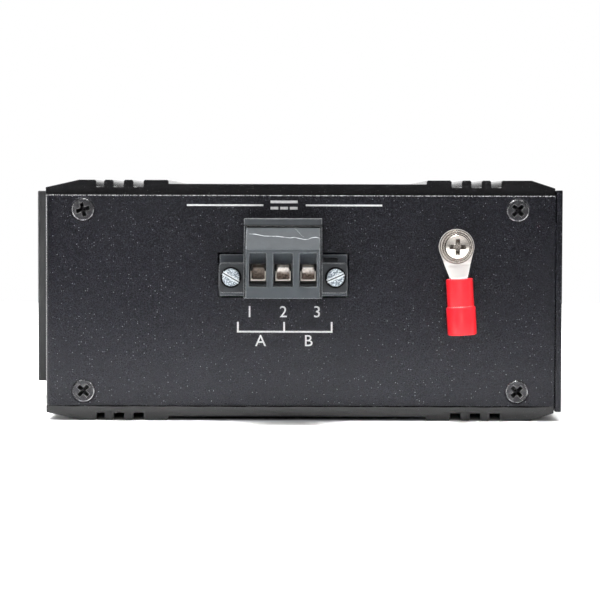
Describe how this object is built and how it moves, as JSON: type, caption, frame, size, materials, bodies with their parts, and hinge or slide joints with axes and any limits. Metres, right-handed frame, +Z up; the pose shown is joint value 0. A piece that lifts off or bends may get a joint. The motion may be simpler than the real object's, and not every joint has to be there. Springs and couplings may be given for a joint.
{
  "type": "industrial ethernet switch",
  "caption": "Rail-mount industrial network switch in a black finned metal case, with a pluggable screw terminal for power, an earth lug, a row of jacks and a rail bracket.",
  "frame": {"origin": "bottom centre of the whole object's box, on the surface that it lies on", "axes": "+X out of the port panel, +Y away from the power terminal, +Z up through both walls"},
  "size_m": [0.1152, 0.165, 0.05],
  "materials": {
    "black_powder_coat": "fine sand-textured powder coat, semi-matt",
    "bracket_coat": "smooth dark grey coat",
    "black_screw_steel": "blackened steel",
    "zinc_steel": "bright zinc plate",
    "spring_steel": "bare spring steel",
    "nickel_steel": "bright nickel plate",
    "tinned_copper": "satin tin plate",
    "plug_plastic": "fine-grained moulded grey",
    "header_plastic": "moulded dark grey",
    "red_sleeve": "semi-gloss red vinyl",
    "circuit_board": "green solder mask",
    "chip_plastic": "moulded black",
    "post_plastic": "natural nylon",
    "shield_metal": "tinned sheet",
    "insert_plastic": "moulded black",
    "contact_metal": "gold-flashed contact",
    "light_pipe": "frosted clear",
    "heat_block_metal": "milled",
    "heat_pad_rubber": "soft grey pad"
  },
  "bodies": {
    "case": {"upper_wall": "black_powder_coat", "lower_wall": "black_powder_coat", "chassis_tray": "black_powder_coat", "end_screws": "black_screw_steel", "front_panel": "black_powder_coat", "panel_screws": "black_screw_steel", "din_bracket": "bracket_coat", "din_spring": "spring_steel", "din_screws": "zinc_steel", "main_board": "circuit_board", "standoffs": "post_plastic", "power_header": "header_plastic", "header_pins": "contact_metal", "flange_bushes": "zinc_steel", "plug_housing": "plug_plastic", "pole_contacts": "contact_metal", "flange_screws": "zinc_steel", "ground_screw": "nickel_steel", "ground_flat_washer": "nickel_steel", "ground_spring_washer": "nickel_steel", "ground_nut": "zinc_steel", "ring_lug": "tinned_copper", "lug_sleeve": "red_sleeve", "port_shield_1": "shield_metal", "port_insert_1": "insert_plastic", "port_shield_2": "shield_metal", "port_insert_2": "insert_plastic", "port_contacts": "contact_metal", "status_light_pipes": "light_pipe", "status_lights": "chip_plastic", "switch_chip": "chip_plastic", "heat_pad": "heat_pad_rubber", "heat_block": "heat_block_metal", "magnetics": "chip_plastic", "power_inductor": "chip_plastic", "memory_chips": "chip_plastic", "capacitors": "chip_plastic"},
    "screw_1": {"clamp_screw_1": "zinc_steel"},
    "cage_1": {"clamp_cage_1": "zinc_steel"},
    "screw_2": {"clamp_screw_2": "zinc_steel"},
    "cage_2": {"clamp_cage_2": "zinc_steel"},
    "screw_3": {"clamp_screw_3": "zinc_steel"},
    "cage_3": {"clamp_cage_3": "zinc_steel"}
  },
  "joints": [
    {"name": "clamp_screw_1_turn", "type": "hinge", "parent": "case", "child": "screw_1", "pos_m": [-0.00548, -0.07615, 0.0398], "axis": [0, 0, 1], "range_deg": [-2016, 0]},
    {"name": "clamp_cage_1_lift", "type": "slide", "parent": "case", "child": "cage_1", "axis": [0, 0, 1], "range_m": [0, 0.0028]},
    {"name": "clamp_screw_2_turn", "type": "hinge", "parent": "case", "child": "screw_2", "pos_m": [-0.0004, -0.07615, 0.0398], "axis": [0, 0, 1], "range_deg": [-2016, 0]},
    {"name": "clamp_cage_2_lift", "type": "slide", "parent": "case", "child": "cage_2", "axis": [0, 0, 1], "range_m": [0, 0.0028]},
    {"name": "clamp_screw_3_turn", "type": "hinge", "parent": "case", "child": "screw_3", "pos_m": [0.00468, -0.07615, 0.0398], "axis": [0, 0, 1], "range_deg": [-2016, 0]},
    {"name": "clamp_cage_3_lift", "type": "slide", "parent": "case", "child": "cage_3", "axis": [0, 0, 1], "range_m": [0, 0.0028]}
  ],
  "couplings": [
    {"joint": "clamp_screw_1_turn", "follows": "clamp_cage_1_lift", "rad_per_m": -12566},
    {"joint": "clamp_screw_2_turn", "follows": "clamp_cage_2_lift", "rad_per_m": -12566},
    {"joint": "clamp_screw_3_turn", "follows": "clamp_cage_3_lift", "rad_per_m": -12566}
  ]
}
